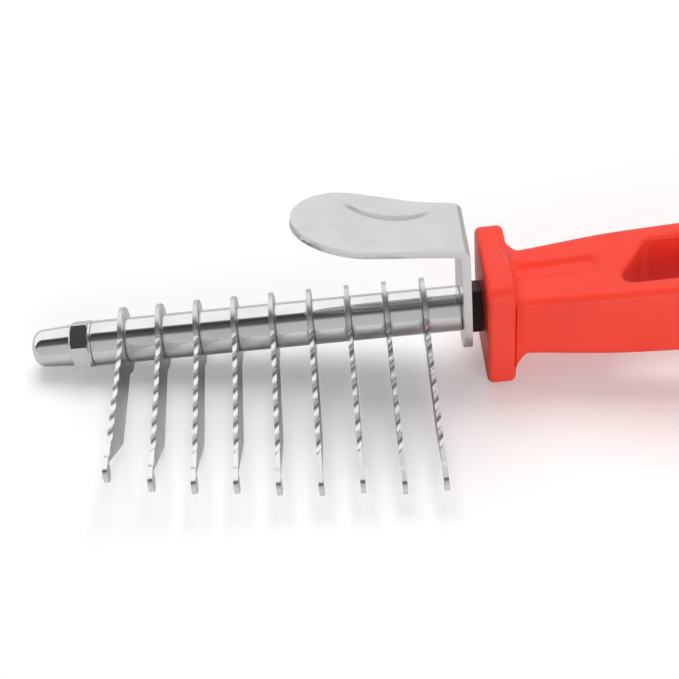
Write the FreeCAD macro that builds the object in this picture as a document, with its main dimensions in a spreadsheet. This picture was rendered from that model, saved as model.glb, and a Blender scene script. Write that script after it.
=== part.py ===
import FreeCAD, Part
import math
import os
import Sketcher

from FreeCAD import Placement, Rotation, Vector

# Dematting comb: serrated blades and spacers are stacked on a threaded rod, between a cap nut
# and a bent steel thumb rest, in front of a moulded handle.
# The origin is the centre of the hang hole. +X runs along the rod and out of the handle's butt,
# -Y is where the blades point, and +Z is the thumb's side. All sizes are in millimetres.

SIZES = {
    # handle
    "hang_reach": 97.7,        # hang hole to the flange's front face
    "butt_reach": 8.5,         # hang hole to the end of the butt
    "hang_hole_dia": 5.0,
    "flange_width": 24.4,
    "flange_height": 29.0,
    "flange_depth": 6.2,
    "flange_corner": 3.4,
    "flange_edge": 1.3,
    "neck_width": 18.6,        # grip section just behind the flange
    "neck_height": 16.2,
    "grip_width": 23.6,        # grip section at its widest
    "grip_height": 19.6,
    "grip_reach": 56.0,        # flange front to the widest section
    "butt_width": 20.4,
    "butt_height": 16.4,
    "grip_corner": 2.4,
    "butt_edge": 1.2,
    "panel_width": 6.8,        # oval panel pressed into the thumb side
    "panel_start": 4.6,        # flange front to the panel's front end
    "panel_end": 26.6,
    "panel_depth": 0.9,
    "panel_shift": 0.9,
    "window_start": 28.2,      # flange front to the window's pointed corner
    "window_length": 44.0,
    "window_width": 12.6,
    "window_slant": 9.0,
    "window_corner": 2.0,      # rounds at the ends of the window's long side
    "window_far_corner": 3.6,
    # rod and what screws on it
    "rod_dia": 6.0,
    "rod_clear": 0.05,         # radial clearance of everything that turns or slides on the rod
    "rod_in_handle": 22.0,
    "rod_in_cap": 8.6,         # washer face to the rod's end, inside the cap nut
    "nut_flats": 10.0,
    "nut_turned": 0.45,        # how far the hexagon's chamfer reaches in from a corner
    "cap_nut_turn": 24.0,      # degrees that each hexagon is turned about the rod
    "jam_nut_turn": 12.0,
    "cap_hex_length": 4.1,
    "cap_length": 13.4,
    "cap_dome_dia": 9.4,
    "cap_waist_dia": 8.6,
    "cap_bore_depth": 10.8,
    "jam_length": 2.9,
    "anchor_length": 5.0,      # nut moulded into the handle
    "anchor_inset": 9.0,
    "anchor_clear": 0.05,
    "washer_dia": 10.6,
    "washer_thick": 0.6,
    # blade stack
    "blade_count": 9,
    "blade_thick": 1.0,
    "pitch": 8.5,
    "axial_play": 0.02,        # between each blade and the spacers beside it
    "spacer_dia": 10.3,
    "spacer_edge": 0.3,
    "end_spacer_cut": 0.7,     # how much shorter the spacer beside the cap nut is
    "head_dia": 15.1,
    "shank_front": 5.4,        # rod axis to the serrated edge
    "shank_back": 4.7,         # rod axis to the plain edge
    "blade_reach": 45.3,       # rod axis to the blade's tip
    "taper_start": 27.5,
    "tip_round": 1.9,
    "tip_proud": 0.8,          # how far the safety tip stands above the serrated edge
    "tip_length": 4.4,
    "serration_start": 8.4,
    "serration_pitch": 4.3,
    "serration_land": 0.25,
    "serration_depth": 1.0,
    "serration_slant": 50.0,   # degrees between a grind and straight across the blade
    "serration_count": 7,
    # thumb rest
    "plate_thick": 1.8,
    "bend_height": 23.5,       # rod axis to the outside corner of the bend
    "bend_round": 2.6,         # outside radius of the bend
    "plate_tilt": 12.0,        # degrees that the rest opens away from the rod
    "rest_length": 37.5,
    "rest_bend_width": 15.9,
    "rest_width": 19.8,
    "rest_wide_at": 22.5,
    "upright_round": 9.0,
    "dish_length": 24.0,
    "dish_width": 12.5,
    "dish_depth": 0.9,
    "dish_centre": 20.5,
}

CHAMFER_RUN = 0.6              # a nut's chamfer along the rod, as a share of its depth
DOME_LENGTH = 0.8              # the acorn nut's round end, as a share of its radius
DOME_MIDDLE = (0.2, 0.68)      # a point on that round, as shares of the same radius
STEP_SLOPE = 1.6               # run of the safety tip's step, as a share of its height
SWELL_REACH = 0.45             # the grip's middle section, as a share of the way to its widest
SWELL_SHARE = 0.67             # and how much of its growth it has by there
STRIP_CORNER = 0.2             # rounds at the corners of the bent strip's section
NEAR = 1e-4                    # what counts as the same place

# Degrees that each blade droops below -Y, from the cap nut to the thumb rest.
BLADE_LEANS = (-2.0, 3.0, 5.5, 7.0, 9.5, 11.5, 12.0, 14.5, 14.5)

doc = FreeCAD.newDocument("dematting_comb")
sheet = doc.addObject("Spreadsheet::Sheet", "sizes")
for row, (alias, value) in enumerate(SIZES.items(), start=1):
    sheet.set("A%d" % row, alias)
    sheet.set("B%d" % row, "%g" % value)
    sheet.setAlias("B%d" % row, alias)
doc.recompute()

X_AXIS = Vector(1, 0, 0)
ALONG_ROD = Rotation(Vector(0, 1, 0), 90)   # turns a primitive's own Z onto +X
sub_parts = []


def size(alias):
    return float(sheet.get(alias))


def bind(thing, **formulas):
    """Bind properties of an object to formulas in the sheet's aliases."""
    for name, formula in formulas.items():
        thing.setExpression(name, formula)


def keep(thing, label, place=Placement()):
    """Make an object a sub-part: give it its label and its place."""
    thing.Label = label
    thing.Placement = place
    sub_parts.append(thing)
    return thing


def origin_plane(body, role):
    for feature in body.Origin.OriginFeatures:
        if feature.Role == role:
            return feature
    raise ValueError(role)


def sketch_on(body, role, name, lift=0.0, turn=Rotation()):
    """A sketch on one of the body's own planes, lifted along the plane's normal and turned."""
    sketch = body.newObject("Sketcher::SketchObject", name)
    sketch.AttachmentSupport = [(origin_plane(body, role), "")]
    sketch.MapMode = "FlatFace"
    sketch.AttachmentOffset = Placement(Vector(0, 0, lift), turn)
    return sketch


def new_body(name):
    return doc.addObject("PartDesign::Body", name)


def add_lines(sketch, corners):
    for here, there in zip(corners, corners[1:] + corners[:1]):
        sketch.addGeometry(Part.LineSegment(Vector(*here, 0), Vector(*there, 0)), False)


def add_rounded(sketch, corners, radii):
    """A closed outline of straight sides, with an arc of the given radius at each corner."""
    points = [Vector(a, b, 0) for a, b in corners]
    count = len(points)
    ends = []
    arcs = []
    for index, corner in enumerate(points):
        back = (points[index - 1] - corner).normalize()
        ahead = (points[(index + 1) % count] - corner).normalize()
        half = back.getAngle(ahead) / 2
        inset = radii[index] / math.tan(half)
        middle = (back + ahead).normalize()
        top = corner + middle * (radii[index] / math.sin(half) - radii[index])
        ends.append((corner + back * inset, corner + ahead * inset))
        arcs.append(Part.Arc(corner + back * inset, top, corner + ahead * inset))
    for index in range(count):
        sketch.addGeometry(arcs[index], False)
        sketch.addGeometry(Part.LineSegment(ends[index][1], ends[(index + 1) % count][0]), False)


def rounded_box_outline(sketch, width, height, corner):
    """A rounded rectangle centred on the sketch's origin."""
    a, b = width / 2, height / 2
    add_rounded(sketch, [(-a, -b), (a, -b), (a, b), (-a, b)], [corner] * 4)


def pad(body, sketch, name, length, midplane=False):
    feature = body.newObject("PartDesign::Pad", name)
    feature.Profile = sketch
    feature.Midplane = midplane
    bind(feature, Length=length)
    return feature


def pocket_through(body, sketch, name):
    """A hole along the sketch's normal, both ways, right through the body."""
    before = body.Tip.Shape.Volume
    feature = body.newObject("PartDesign::Pocket", name)
    feature.Profile = sketch
    feature.Type = "ThroughAll"
    feature.Midplane = True
    doc.recompute()
    check_smaller(feature, before)
    return feature


def check_smaller(feature, volume_before):
    if not feature.Shape.Volume < volume_before - 1e-3:
        raise ValueError("%s cuts nothing" % feature.Name)


def round_edges(body, name, formula, chosen, kind="PartDesign::Fillet"):
    """Fillet or chamfer the edges of the body's last feature that the test chooses."""
    doc.recompute()
    base = body.Tip
    edges = ["Edge%d" % (i + 1) for i, edge in enumerate(base.Shape.Edges) if chosen(edge)]
    feature = body.newObject(kind, name)
    feature.Base = (base, edges)
    bind(feature, **{"Size" if kind.endswith("Chamfer") else "Radius": formula})
    doc.recompute()
    return feature


def circle(sketch, formula, name, alias_value):
    """A circle about the sketch's origin whose radius is bound to a formula."""
    index = sketch.addGeometry(Part.Circle(Vector(), Vector(0, 0, 1), alias_value), False)
    sketch.addConstraint(Sketcher.Constraint("Coincident", index, 3, -1, 1))
    number = sketch.addConstraint(Sketcher.Constraint("Radius", index, alias_value))
    sketch.renameConstraint(number, name)
    sketch.setExpression("Constraints.%s" % name, formula)


def ring(label, inner, outer, length, edge, x_start):
    """A turned ring on the rod, from x_start along +X, with chamfered outside edges."""
    body = new_body(label)
    sketch = sketch_on(body, "YZ_Plane", label + "_section")
    circle(sketch, inner, "inside", size("rod_dia") / 2)
    circle(sketch, outer, "outside", size("rod_dia"))
    pad(body, sketch, label + "_pad", length)
    doc.recompute()
    rim = max(edge_radius(e) for e in body.Tip.Shape.Edges)
    round_edges(body, label + "_edge", edge, lambda e: abs(edge_radius(e) - rim) < 1e-6,
                "PartDesign::Chamfer")
    return keep(body, label, Placement(Vector(x_start, 0, 0), Rotation()))


def edge_radius(edge):
    return edge.Curve.Radius if isinstance(edge.Curve, Part.Circle) else 0.0


def drilled(base, name, radius, length, x_start):
    """The base with a round hole along the rod's axis, from x_start along +X."""
    drill = doc.addObject("Part::Cylinder", name + "_drill")
    bind(drill, Radius=radius, Height=length)
    drill.Placement = Placement(Vector(x_start, 0, 0), ALONG_ROD)
    cut = doc.addObject("Part::Cut", name)
    cut.Base = base
    cut.Tool = drill
    return cut


def hexagon(name, length, x_start, turn):
    """A hexagonal bar along +X, with a flat turned to the given angle about the rod."""
    bar = doc.addObject("Part::Prism", name + "_hexagon")
    bar.Polygon = 6
    bind(bar, Circumradius="sizes.nut_flats / sqrt(3)", Height=length)
    bar.Placement = Placement(Vector(x_start, 0, 0), Rotation(X_AXIS, turn) * ALONG_ROD)
    return bar


def turned(name, outline):
    """A solid turned about the rod's axis from (x, radius) points; a triple is an arc."""
    body = new_body(name)
    sketch = sketch_on(body, "XZ_Plane", name + "_outline")
    for piece in outline:
        points = [Vector(x, radius, 0) for x, radius in piece]
        curve = Part.LineSegment(*points) if len(points) == 2 else Part.Arc(*points)
        sketch.addGeometry(curve, False)
    feature = body.newObject("PartDesign::Revolution", name + "_turning")
    feature.Profile = sketch
    feature.ReferenceAxis = (sketch, ["H_Axis"])
    feature.Angle = 360
    return body


def common(name, base, tool):
    shared = doc.addObject("Part::Common", name)
    shared.Base = base
    shared.Tool = tool
    return shared


# ---------------------------------------------------------------- places along the rod

flange_front = -size("hang_reach")
rest_outer_face = flange_front - size("jam_length")
rest_inner_face = rest_outer_face - size("plate_thick")
stack_step = size("pitch")
spacer_length = "sizes.pitch - sizes.blade_thick - 2 * sizes.axial_play"
spacer_span = size("pitch") - size("blade_thick") - 2 * size("axial_play")
blade_count = int(size("blade_count"))
last_blade = rest_inner_face - 2 * size("axial_play") - spacer_span - size("blade_thick") / 2
first_blade = last_blade - (blade_count - 1) * stack_step
washer_back = first_blade - size("blade_thick") / 2 - 2 * size("axial_play") - spacer_span
washer_back += size("end_spacer_cut")
washer_front = washer_back - size("washer_thick")
bore_radius = "sizes.rod_dia / 2 + sizes.rod_clear"


# ---------------------------------------------------------------- blades and spacers

def blade_outline(sketch):
    """Round head, straight shank, back tapering up to a safety tip on the serrated side."""
    head = size("head_dia") / 2
    front, back = size("shank_front"), size("shank_back")
    tip_radius = size("tip_round")
    tip_top = front + size("tip_proud")
    centre = Vector(-(size("blade_reach") - tip_radius), tip_top - tip_radius, 0)
    taper = Vector(-size("taper_start"), -back, 0)
    front_root = Vector(-math.sqrt(head ** 2 - front ** 2), front, 0)
    back_root = Vector(-math.sqrt(head ** 2 - back ** 2), -back, 0)
    # The tapered back touches the tip's round.
    reach = centre - taper
    lean = math.atan2(reach.y, reach.x) + math.asin(tip_radius / reach.Length)
    touch = centre - Vector(-math.sin(lean), math.cos(lean), 0) * tip_radius
    nose = centre - Vector(tip_radius, 0, 0)
    crest = centre + Vector(0, tip_radius, 0)
    step_start = Vector(-(size("blade_reach") - size("tip_length")), tip_top, 0)
    step_end = step_start + Vector(size("tip_proud") * STEP_SLOPE, -size("tip_proud"), 0)
    pieces = [
        Part.Arc(front_root, Vector(head, 0, 0), back_root),
        Part.LineSegment(back_root, taper),
        Part.LineSegment(taper, touch),
        Part.Arc(touch, nose, crest),
        Part.LineSegment(crest, step_start),
        Part.LineSegment(step_start, step_end),
        Part.LineSegment(step_end, front_root),
    ]
    for piece in pieces:
        sketch.addGeometry(piece, False)


def serration_tool(name, index):
    """One slanted round grind across the serrated edge."""
    slant = math.radians(size("serration_slant"))
    half_mouth = (size("serration_pitch") - size("serration_land")) / 2 * math.cos(slant)
    depth = size("serration_depth")
    radius = (half_mouth ** 2 + depth ** 2) / (2 * depth)
    reach = 6 * size("blade_thick") / math.cos(slant)
    wheel = doc.addObject("Part::Cylinder", "%s_grind_%d" % (name, index + 1))
    wheel.Radius = radius
    wheel.Height = reach
    direction = Vector(math.cos(slant), math.sin(slant), 0)
    along = size("serration_start") + index * size("serration_pitch")
    middle = Vector(0, -along, size("shank_front") + radius - depth)
    wheel.Placement = Placement(middle - direction * (reach / 2), Rotation(Vector(0, 0, 1), direction))
    return wheel


def make_blade(index):
    name = "blade_%d" % (index + 1)
    body = new_body(name + "_blank")
    sketch = sketch_on(body, "YZ_Plane", name + "_outline")
    blade_outline(sketch)
    circle(sketch, bore_radius, "bore", size("rod_dia") / 2)
    pad(body, sketch, name + "_pad", "sizes.blade_thick", midplane=True)
    grinds = doc.addObject("Part::MultiFuse", name + "_grinds")
    grinds.Shapes = [serration_tool(name, i) for i in range(int(size("serration_count")))]
    blade = doc.addObject("Part::Cut", name)
    blade.Base = body
    blade.Tool = grinds
    x = first_blade + index * stack_step
    keep(blade, name, Placement(Vector(x, 0, 0), Rotation(X_AXIS, BLADE_LEANS[index])))


def make_spacers():
    for index in range(blade_count + 1):
        x = first_blade + index * stack_step - stack_step
        x += size("blade_thick") / 2 + size("axial_play")
        length = spacer_length
        if index == 0:
            x += size("end_spacer_cut")
            length += " - sizes.end_spacer_cut"
        ring("spacer_%d" % (index + 1), bore_radius, "sizes.spacer_dia / 2", length,
             "sizes.spacer_edge", x)


# ---------------------------------------------------------------- rod, nuts and washer

def make_rod():
    rod = doc.addObject("Part::Cylinder", "clamp_rod")
    bind(rod, Radius="sizes.rod_dia / 2",
         Height="sizes.rod_in_cap + sizes.washer_thick + sizes.pitch * (sizes.blade_count + 1)"
                " - sizes.blade_thick - sizes.end_spacer_cut + sizes.plate_thick"
                " + sizes.jam_length + sizes.rod_in_handle")
    keep(rod, "clamp_rod", Placement(Vector(washer_front - size("rod_in_cap"), 0, 0), ALONG_ROD))


def hex_envelope(name, length, x_start):
    """The turned outline of a hexagon nut along the rod: its corners chamfered off at the ends."""
    corner = size("nut_flats") / math.sqrt(3)
    chamfer = size("nut_turned")
    x_end = x_start + length
    run = chamfer * CHAMFER_RUN
    points = [(x_start, 0), (x_start, corner - chamfer), (x_start + run, corner),
              (x_end - run, corner), (x_end, corner - chamfer), (x_end, 0)]
    return turned(name, list(zip(points, points[1:] + points[:1])))


def make_cap_nut():
    """An acorn nut: chamfered hexagon, waisted dome and a blind bore for the rod."""
    corner = size("nut_flats") / math.sqrt(3)
    chamfer = size("nut_turned")
    base, waist = size("cap_dome_dia") / 2, size("cap_waist_dia") / 2
    face = washer_front
    shoulder = face - size("cap_hex_length")
    tip = face - size("cap_length")
    turn_in = tip + waist * DOME_LENGTH
    middle = (tip + waist * DOME_MIDDLE[0], waist * DOME_MIDDLE[1])
    outline = [
        [(face, 0), (face, corner - chamfer)],
        [(face, corner - chamfer), (face - chamfer * CHAMFER_RUN, corner)],
        [(face - chamfer * CHAMFER_RUN, corner), (shoulder + chamfer, corner)],
        [(shoulder + chamfer, corner), (shoulder, base)],
        [(shoulder, base), (turn_in, waist)],
        [(turn_in, waist), middle, (tip, 0)],
        [(tip, 0), (face, 0)],
    ]
    bar = hexagon("cap_nut", "sizes.cap_length", tip, size("cap_nut_turn"))
    solid = common("cap_nut_solid", bar, turned("cap_nut_profile", outline))
    keep(drilled(solid, "cap_nut", bore_radius, "sizes.cap_bore_depth",
                 face - size("cap_bore_depth")), "cap_nut")


def make_jam_nut():
    bar = hexagon("jam_nut", "sizes.jam_length", rest_outer_face, size("jam_nut_turn"))
    outline = hex_envelope("jam_nut_profile", size("jam_length"), rest_outer_face)
    solid = common("jam_nut_solid", bar, outline)
    keep(drilled(solid, "jam_nut", bore_radius, "sizes.jam_length", rest_outer_face), "jam_nut")


def make_anchor_nut():
    """The nut that the handle is moulded around, which holds the rod's end."""
    x_start = flange_front + size("anchor_inset")
    bar = hexagon("anchor_nut", "sizes.anchor_length", x_start, 0.0)
    keep(drilled(bar, "anchor_nut", bore_radius, "sizes.anchor_length", x_start), "anchor_nut")


# ---------------------------------------------------------------- thumb rest

def upright_outline(sketch):
    """The upright's outline in Y and Z: round about the rod, straight sides up past the bend."""
    half = size("rest_bend_width") / 2
    around = size("upright_round")
    top = size("bend_height") + size("bend_round")
    # Each side leaves the round at a tangent and passes through the bend's half width.
    distance = math.hypot(half, top)
    turn = math.atan2(half, top) + math.acos(around / distance)
    touch = (around * math.sin(turn), around * math.cos(turn))
    right, left = Vector(*touch, 0), Vector(-touch[0], touch[1], 0)
    sketch.addGeometry(Part.Arc(right, Vector(0, -around, 0), left), False)
    sketch.addGeometry(Part.LineSegment(left, Vector(-half, top, 0)), False)
    sketch.addGeometry(Part.LineSegment(Vector(-half, top, 0), Vector(half, top, 0)), False)
    sketch.addGeometry(Part.LineSegment(Vector(half, top, 0), right), False)


def leaf_outline(sketch):
    """The leaf's outline: x runs back from its free end's side to the bend, y across it."""
    bend, wide = size("rest_bend_width") / 2, size("rest_width") / 2
    wide_at, length = size("rest_wide_at"), size("rest_length")
    past_bend = size("bend_round")
    low_start, low_wide = Vector(past_bend, -bend, 0), Vector(-wide_at, -wide, 0)
    top_start, top_wide = Vector(past_bend, bend, 0), Vector(-wide_at, wide, 0)
    sketch.addGeometry(Part.LineSegment(top_start, low_start), False)
    sketch.addGeometry(Part.LineSegment(low_start, low_wide), False)
    end = Part.Ellipse(Vector(-wide_at, 0, 0), length - wide_at, wide)
    sketch.addGeometry(Part.ArcOfEllipse(end, math.pi / 2, 3 * math.pi / 2), False)
    sketch.addGeometry(Part.LineSegment(top_wide, top_start), False)


def bent_strip():
    """The bent strip of plate, seen from the side, wider than the finished rest."""
    tilt = math.radians(size("plate_tilt"))
    thick, length = size("plate_thick"), size("rest_length") + 2
    outer = rest_outer_face
    corner = Vector(outer, size("bend_height"), 0)
    along = Vector(-math.cos(tilt), math.sin(tilt), 0)
    inward = Vector(-math.sin(tilt), -math.cos(tilt), 0)
    foot = -size("upright_round") - 1
    # Inside faces of the upright and the leaf meet at the bend's inside corner.
    inside_x = outer - thick
    run = (corner.x - inside_x + thick * inward.x) / -along.x
    inside = corner + inward * thick + along * run
    body = new_body("thumb_rest_strip")
    sketch = sketch_on(body, "XZ_Plane", "thumb_rest_side")
    far_outer, far_inner = corner + along * length, corner + along * length + inward * thick
    corners = [(outer, foot), (corner.x, corner.y), (far_outer.x, far_outer.y),
               (far_inner.x, far_inner.y), (inside.x, inside.y), (inside_x, foot)]
    bend = size("bend_round")
    small = STRIP_CORNER
    add_rounded(sketch, corners, [small, bend, small, small, bend - thick, small])
    pad(body, sketch, "thumb_rest_bar", "2 * sizes.rest_width", midplane=True)
    return body


def make_thumb_rest():
    tilt = size("plate_tilt")
    strip = bent_strip()
    upright = new_body("thumb_rest_upright")
    sketch = sketch_on(upright, "YZ_Plane", "upright_outline",
                       lift=rest_outer_face - size("plate_thick") - size("bend_round"))
    upright_outline(sketch)
    pad(upright, sketch, "upright_pad", "2 * (sizes.plate_thick + sizes.bend_round)")
    leaf = new_body("thumb_rest_leaf")
    sketch = sketch_on(leaf, "XY_Plane", "leaf_outline")
    leaf_outline(sketch)
    pad(leaf, sketch, "leaf_pad", "8 * sizes.plate_thick", midplane=True)
    tilted = Placement(Vector(rest_outer_face, 0, size("bend_height")),
                       Rotation(Vector(0, 1, 0), tilt))
    leaf.Placement = tilted
    shape_tool = doc.addObject("Part::Fuse", "thumb_rest_outline")
    shape_tool.Base = upright
    shape_tool.Tool = leaf
    plate = common("thumb_rest_plate", strip, shape_tool)
    # The thumb's dish is pressed down into the leaf and stands out below it.
    centre = size("dish_centre")
    length, width = size("dish_length") / 2, size("dish_width") / 2
    depth, thick = size("dish_depth"), size("plate_thick")
    bulge = doc.addObject("Part::Ellipsoid", "dish_bulge")
    hollow = doc.addObject("Part::Ellipsoid", "dish_hollow")
    for bowl, extra in ((bulge, thick), (hollow, 0.0)):
        bowl.Radius1 = depth + extra
        bowl.Radius2 = length + extra
        bowl.Radius3 = width + extra
        bowl.Placement = tilted.multiply(Placement(Vector(-centre, 0, 0), Rotation()))
    below = doc.addObject("Part::Box", "dish_side")
    bind(below, Length="sizes.rest_length * 2", Width="sizes.rest_width * 2",
         Height="sizes.plate_thick * 4")
    below.Placement = tilted.multiply(Placement(
        Vector(-2 * size("rest_length") + centre / 2, -size("rest_width"), -4 * thick - 0.1),
        Rotation()))
    pressed = common("dish_pressed", bulge, below)
    joined = doc.addObject("Part::Fuse", "thumb_rest_pressed")
    joined.Base = plate
    joined.Tool = pressed
    dished = doc.addObject("Part::Cut", "thumb_rest_dished")
    dished.Base = joined
    dished.Tool = hollow
    keep(drilled(dished, "thumb_rest", bore_radius, "2 * sizes.plate_thick",
                 rest_outer_face - 1.5 * size("plate_thick")), "thumb_rest")


# ---------------------------------------------------------------- handle

def make_handle():
    """Moulded grip: a squared flange, a tapering grip with an oval panel, and a slanted window."""
    body = new_body("handle")
    front = flange_front
    sketch = sketch_on(body, "YZ_Plane", "flange_outline", lift=front)
    rounded_box_outline(sketch, size("flange_width"), size("flange_height"),
                        size("flange_corner"))
    pad(body, sketch, "flange_pad", "sizes.flange_depth")
    round_edges(body, "flange_rounds", "sizes.flange_edge", lambda edge: across_rod(edge))
    grip_sections(body, front)
    butt = size("butt_reach")
    round_edges(body, "butt_rounds", "sizes.butt_edge",
                lambda edge: edge.BoundBox.XMin > butt - NEAR)
    press_panel(body, front)
    cut_window(body, front)
    sketch = sketch_on(body, "XY_Plane", "hang_hole_outline")
    circle(sketch, "sizes.hang_hole_dia / 2", "hang", size("hang_hole_dia") / 2)
    pocket_through(body, sketch, "hang_hole")
    # Room for the rod and for the nut that holds it.
    rod_room = doc.addObject("Part::Cylinder", "rod_room")
    bind(rod_room, Radius="sizes.rod_dia / 2 + sizes.rod_clear",
         Height="sizes.rod_in_handle + 1 + sizes.rod_clear")
    rod_room.Placement = Placement(Vector(front - 1, 0, 0), ALONG_ROD)
    nut_room = doc.addObject("Part::Prism", "nut_room")
    nut_room.Polygon = 6
    bind(nut_room, Circumradius="(sizes.nut_flats + 2 * sizes.anchor_clear) / sqrt(3)",
         Height="sizes.anchor_length + 2 * sizes.anchor_clear")
    nut_room.Placement = Placement(
        Vector(front + size("anchor_inset") - size("anchor_clear"), 0, 0), ALONG_ROD)
    room = doc.addObject("Part::Fuse", "insert_room")
    room.Base = rod_room
    room.Tool = nut_room
    handle = doc.addObject("Part::Cut", "handle_moulding")
    handle.Base = body
    handle.Tool = room
    body.Label = "handle_blank"
    keep(handle, "handle")


def across_rod(edge):
    """True for an edge that lies in a plane across the rod."""
    return edge.BoundBox.XLength < NEAR


def grip_sections(body, front):
    """The grip's four sections, joined smoothly from inside the flange to the butt."""
    root = size("flange_depth") / 2
    grip = size("grip_reach")
    sections = [
        (root, "neck_width", "neck_height"),
        (grip * SWELL_REACH, None, None),
        (grip, "grip_width", "grip_height"),
        (size("hang_reach") + size("butt_reach"), "butt_width", "butt_height"),
    ]
    sketches = []
    for number, (reach, width_name, height_name) in enumerate(sections):
        if width_name is None:
            width = size("neck_width") * (1 - SWELL_SHARE) + size("grip_width") * SWELL_SHARE
            height = size("neck_height") * (1 - SWELL_SHARE) + size("grip_height") * SWELL_SHARE
        else:
            width, height = size(width_name), size(height_name)
        sketch = sketch_on(body, "YZ_Plane", "grip_section_%d" % (number + 1), lift=front + reach)
        rounded_box_outline(sketch, width, height, size("grip_corner"))
        sketches.append(sketch)
    loft = body.newObject("PartDesign::AdditiveLoft", "grip")
    loft.Profile = sketches[0]
    loft.Sections = sketches[1:]
    loft.Ruled = False
    doc.recompute()


def slot_outline(sketch, length, width):
    """A slot with round ends, centred on the sketch's origin, along its x."""
    straight, half = length / 2 - width / 2, width / 2
    for side in (1, -1):
        sketch.addGeometry(Part.LineSegment(Vector(-side * straight, side * half, 0),
                                            Vector(side * straight, side * half, 0)), False)
        sketch.addGeometry(Part.Arc(Vector(side * straight, side * half, 0),
                                    Vector(side * (straight + half), 0, 0),
                                    Vector(side * straight, -side * half, 0)), False)


def press_panel(body, front):
    """The shallow oval panel on the thumb side, which follows the grip's slope."""
    start, end = size("panel_start"), size("panel_end")
    middle = front + (start + end) / 2
    # The slope is taken clear of the round between the flange and the grip.
    clear = start + size("panel_width") / 2
    low, high = surface_height(body, front + clear), surface_height(body, front + end)
    slope = math.degrees(math.atan2(high - low, end - clear))
    floor = surface_height(body, middle) - size("panel_depth")
    sketch = body.newObject("Sketcher::SketchObject", "panel_outline")
    sketch.AttachmentSupport = [(origin_plane(body, "XY_Plane"), "")]
    sketch.MapMode = "FlatFace"
    sketch.AttachmentOffset = Placement(Vector(middle, size("panel_shift"), floor),
                                        Rotation(Vector(0, 1, 0), -slope))
    slot_outline(sketch, end - start, size("panel_width"))
    before = body.Tip.Shape.Volume
    panel = body.newObject("PartDesign::Pocket", "oval_panel")
    panel.Profile = sketch
    panel.Reversed = True
    bind(panel, Length="4 * sizes.panel_depth")
    doc.recompute()
    check_smaller(panel, before)


def surface_height(body, x):
    """How high the body's top stands above the rod's axis at a place along it."""
    line = Part.makeLine(Vector(x, 0, 0), Vector(x, 0, 2 * size("flange_height")))
    return line.common(body.Tip.Shape).BoundBox.ZMax


def cut_window(body, front):
    """The window right through the grip: a slanted end, a long side beside the grip's edge."""
    start = front + size("window_start")
    half, slant = size("window_width") / 2, size("window_slant")
    end = start + size("window_length")
    sketch = sketch_on(body, "XY_Plane", "window_outline")
    corners = [(start, -half), (end, -half), (end - slant, half), (start + slant, half)]
    corner, far_corner = size("window_corner"), size("window_far_corner")
    add_rounded(sketch, corners, [corner, corner, far_corner, far_corner])
    pocket_through(body, sketch, "window")


def check_and_write():
    """Stop on any failed object or bad shape, then write one file for each sub-part."""
    doc.recompute()
    for thing in doc.Objects:
        if "Invalid" in thing.State or "Error" in thing.State:
            raise ValueError("%s failed: %s" % (thing.Label, thing.State))
    for thing in sub_parts:
        if thing.Shape.isNull() or not thing.Shape.isValid():
            raise ValueError("%s has no good shape" % thing.Label)
    os.makedirs("parts", exist_ok=True)
    for thing in sub_parts:
        thing.Shape.exportStep("parts/%s.step" % thing.Label)
        print("%-12s solids %d  volume %9.2f" % (thing.Label, len(thing.Shape.Solids),
                                                thing.Shape.Volume))


make_cap_nut()
ring("nut_washer", bore_radius, "sizes.washer_dia / 2", "sizes.washer_thick",
     "sizes.washer_thick / 6", washer_front)
for blade_index in range(blade_count):
    make_blade(blade_index)
make_spacers()
make_thumb_rest()
make_rod()
make_jam_nut()
make_anchor_nut()
make_handle()
check_and_write()
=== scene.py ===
import logging
import math
from dataclasses import dataclass, field
from enum import Enum
from typing import Callable, Iterable, Sequence

import bmesh
import bpy
from mathutils import Euler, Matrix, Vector


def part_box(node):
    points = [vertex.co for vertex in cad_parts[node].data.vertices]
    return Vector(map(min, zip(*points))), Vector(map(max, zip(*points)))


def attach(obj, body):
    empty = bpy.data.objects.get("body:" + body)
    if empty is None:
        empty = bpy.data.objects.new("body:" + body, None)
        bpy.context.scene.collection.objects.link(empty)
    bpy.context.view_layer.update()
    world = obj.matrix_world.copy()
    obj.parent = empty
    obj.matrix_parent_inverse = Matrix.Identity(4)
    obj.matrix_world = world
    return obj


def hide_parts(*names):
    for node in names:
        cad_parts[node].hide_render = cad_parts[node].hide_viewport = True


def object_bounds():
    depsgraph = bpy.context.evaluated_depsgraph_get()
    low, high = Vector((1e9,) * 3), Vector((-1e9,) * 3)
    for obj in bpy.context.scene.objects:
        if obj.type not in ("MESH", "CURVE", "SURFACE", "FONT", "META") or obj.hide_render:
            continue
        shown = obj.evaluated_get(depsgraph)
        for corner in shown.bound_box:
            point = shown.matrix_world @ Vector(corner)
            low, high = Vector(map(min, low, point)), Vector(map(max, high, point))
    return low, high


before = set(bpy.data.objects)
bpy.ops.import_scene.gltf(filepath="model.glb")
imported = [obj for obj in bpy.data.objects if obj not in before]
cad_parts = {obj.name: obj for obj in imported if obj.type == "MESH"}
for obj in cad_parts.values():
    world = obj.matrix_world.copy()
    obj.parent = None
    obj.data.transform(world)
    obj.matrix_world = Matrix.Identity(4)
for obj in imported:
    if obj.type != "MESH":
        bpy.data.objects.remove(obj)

LOG = logging.getLogger("dematting_comb")
CAD_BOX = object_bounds()
MM = 0.001
ROD_BORE = 3.05 * MM    # radius of the holes that the rod goes through
MERGE = 2e-6            # points nearer than this become one
SLIVER = 1e-7           # faces thinner than this are removed
Point2 = tuple[float, float]
Colour = tuple[float, float, float]
Ring = list[Vector]


# ------------------------------------------------------------------ small geometry helpers

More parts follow.
